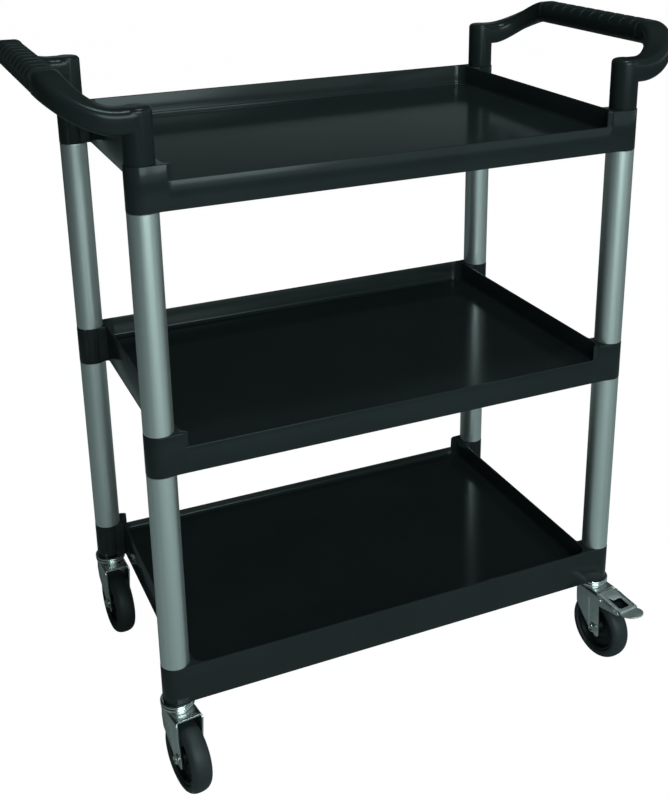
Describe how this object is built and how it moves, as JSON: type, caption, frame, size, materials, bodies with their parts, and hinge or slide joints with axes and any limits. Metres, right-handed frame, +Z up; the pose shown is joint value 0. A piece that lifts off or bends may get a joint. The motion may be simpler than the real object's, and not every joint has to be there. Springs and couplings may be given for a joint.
{
  "type": "rolling utility cart",
  "caption": "Rolling utility cart: black moulded trays on aluminium tube posts, a ribbed push handle at each end, and swivel casters, some with a brake pedal.",
  "frame": {"origin": "on the floor, in the middle of the bounding box that the cart and its casters cover", "axes": "+X along the trays towards the end with the braked casters, +Y across the cart away from the low-lipped side of the top tray, +Z up"},
  "size_m": [0.866, 0.5064, 0.956],
  "materials": {
    "black_plastic": "satin moulded polypropylene with a fine texture",
    "grip_rubber": "soft-touch, satin",
    "satin_aluminium": "satin, natural anodised",
    "bright_zinc": "bright zinc plate on pressed steel",
    "dark_steel": "turned, lightly oiled",
    "nylon": "as moulded",
    "wheel_plastic": "as moulded, satin",
    "tyre_rubber": "dark grey rubber, matt"
  },
  "bodies": {
    "cart": {"top_tray": "black_plastic", "middle_tray": "black_plastic", "bottom_tray": "black_plastic", "right_handle": "black_plastic", "right_grip": "grip_rubber", "left_handle": "black_plastic", "left_grip": "grip_rubber", "lower_tube_near_left": "satin_aluminium", "upper_tube_near_left": "satin_aluminium", "tube_joiner_near_left": "nylon", "caster_socket_near_left": "nylon", "caster_stem_near_left": "dark_steel", "swivel_cup_near_left": "bright_zinc", "lower_tube_near_right": "satin_aluminium", "upper_tube_near_right": "satin_aluminium", "tube_joiner_near_right": "nylon", "caster_socket_near_right": "nylon", "caster_stem_near_right": "dark_steel", "swivel_cup_near_right": "bright_zinc", "lower_tube_far_left": "satin_aluminium", "upper_tube_far_left": "satin_aluminium", "tube_joiner_far_left": "nylon", "caster_socket_far_left": "nylon", "caster_stem_far_left": "dark_steel", "swivel_cup_far_left": "bright_zinc", "lower_tube_far_right": "satin_aluminium", "upper_tube_far_right": "satin_aluminium", "tube_joiner_far_right": "nylon", "caster_socket_far_right": "nylon", "caster_stem_far_right": "dark_steel", "swivel_cup_far_right": "bright_zinc"},
    "swivel_near_left": {"ball_race_near_left": "dark_steel", "fork_near_left": "bright_zinc", "axle_bolt_near_left": "bright_zinc", "axle_bush_near_left": "dark_steel"},
    "wheel_near_left": {"wheel_centre_near_left": "wheel_plastic", "tyre_near_left": "tyre_rubber"},
    "swivel_near_right": {"ball_race_near_right": "dark_steel", "fork_near_right": "bright_zinc", "axle_bolt_near_right": "bright_zinc", "axle_bush_near_right": "dark_steel", "brake_pin_near_right": "dark_steel"},
    "wheel_near_right": {"wheel_centre_near_right": "wheel_plastic", "tyre_near_right": "tyre_rubber"},
    "pedal_near_right": {"brake_pedal_near_right": "bright_zinc"},
    "swivel_far_left": {"ball_race_far_left": "dark_steel", "fork_far_left": "bright_zinc", "axle_bolt_far_left": "bright_zinc", "axle_bush_far_left": "dark_steel"},
    "wheel_far_left": {"wheel_centre_far_left": "wheel_plastic", "tyre_far_left": "tyre_rubber"},
    "swivel_far_right": {"ball_race_far_right": "dark_steel", "fork_far_right": "bright_zinc", "axle_bolt_far_right": "bright_zinc", "axle_bush_far_right": "dark_steel", "brake_pin_far_right": "dark_steel"},
    "wheel_far_right": {"wheel_centre_far_right": "wheel_plastic", "tyre_far_right": "tyre_rubber"},
    "pedal_far_right": {"brake_pedal_far_right": "bright_zinc"}
  },
  "joints": [
    {"name": "near_left_swivel", "type": "hinge", "parent": "cart", "child": "swivel_near_left", "pos_m": [-0.33, -0.15005, 0.118], "axis": [0, 0, 1], "continuous": true},
    {"name": "near_left_roll", "type": "hinge", "parent": "swivel_near_left", "child": "wheel_near_left", "pos_m": [-0.32652, -0.1748, 0.05], "axis": [0.9903, 0.1392, 0], "continuous": true},
    {"name": "near_right_swivel", "type": "hinge", "parent": "cart", "child": "swivel_near_right", "pos_m": [0.33, -0.15005, 0.118], "axis": [0, 0, 1], "continuous": true},
    {"name": "near_right_roll", "type": "hinge", "parent": "swivel_near_right", "child": "wheel_near_right", "pos_m": [0.33305, -0.17486, 0.05], "axis": [0.9925, 0.1219, 0], "continuous": true},
    {"name": "near_right_brake", "type": "hinge", "parent": "swivel_near_right", "child": "pedal_near_right", "pos_m": [0.33487, -0.18975, 0.1075], "axis": [0.9925, 0.1219, 0], "range_deg": [0, 10]},
    {"name": "far_left_swivel", "type": "hinge", "parent": "cart", "child": "swivel_far_left", "pos_m": [-0.33, 0.22795, 0.118], "axis": [0, 0, 1], "continuous": true},
    {"name": "far_left_roll", "type": "hinge", "parent": "swivel_far_left", "child": "wheel_far_left", "pos_m": [-0.32869, 0.20298, 0.05], "axis": [0.9986, 0.0523, 0], "continuous": true},
    {"name": "far_right_swivel", "type": "hinge", "parent": "cart", "child": "swivel_far_right", "pos_m": [0.33, 0.22795, 0.118], "axis": [0, 0, 1], "continuous": true},
    {"name": "far_right_roll", "type": "hinge", "parent": "swivel_far_right", "child": "wheel_far_right", "pos_m": [0.33218, 0.20305, 0.05], "axis": [0.9962, 0.0872, 0], "continuous": true},
    {"name": "far_right_brake", "type": "hinge", "parent": "swivel_far_right", "child": "pedal_far_right", "pos_m": [0.33349, 0.1881, 0.1075], "axis": [0.9962, 0.0872, 0], "range_deg": [0, 10]}
  ]
}
